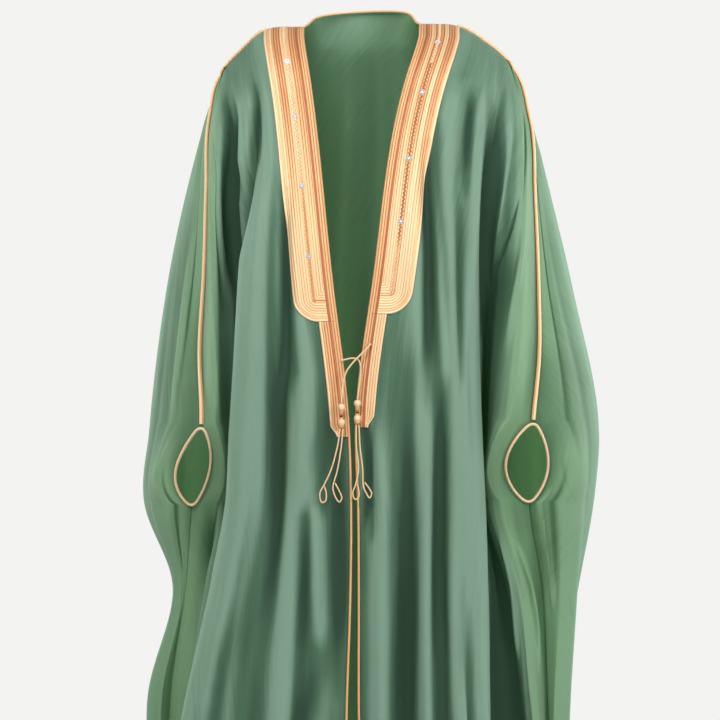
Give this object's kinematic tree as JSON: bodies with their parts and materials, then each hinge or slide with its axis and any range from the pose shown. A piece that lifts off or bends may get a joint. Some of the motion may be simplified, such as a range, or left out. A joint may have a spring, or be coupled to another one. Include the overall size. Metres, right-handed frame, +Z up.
{
  "type": "bisht cloak",
  "caption": "Open, floor-length bisht cloak in sheer cloth, with embroidered chest bands, corded seams and cuffs, and two chest ties; held in its worn shape.",
  "frame": {"origin": "midway between the two places where the cloak rests beside the neck, on top of the shoulders", "axes": "+Z up; the open front faces -Y; +X is towards the wearer's left"},
  "size_m": [0.659, 0.4242, 1.4716],
  "materials": {
    "green_voile": "matte, sheer plain weave",
    "gold_zari": "satin metal thread embroidery",
    "gold_cord": "satin metal thread",
    "tie_silk": "satin twisted silk"
  },
  "bodies": {
    "root": {"back": "green_voile", "front_right": "green_voile", "front_left": "green_voile", "neck_cord": "gold_cord", "zari_band_right": "gold_zari", "zari_strip_right": "gold_zari", "shoulder_cord_right": "gold_cord", "front_cord_right": "gold_cord", "cuff_cord_right": "gold_cord", "tie_spool_right": "gold_cord", "tie_cord_right": "tie_silk", "tie_tail_right_a": "tie_silk", "tie_tail_right_b": "tie_silk", "zari_band_left": "gold_zari", "zari_strip_left": "gold_zari", "shoulder_cord_left": "gold_cord", "front_cord_left": "gold_cord", "cuff_cord_left": "gold_cord", "tie_spool_left": "gold_cord", "tie_cord_left": "tie_silk", "tie_tail_left_a": "tie_silk", "tie_tail_left_b": "tie_silk"}
  },
  "joints": []
}
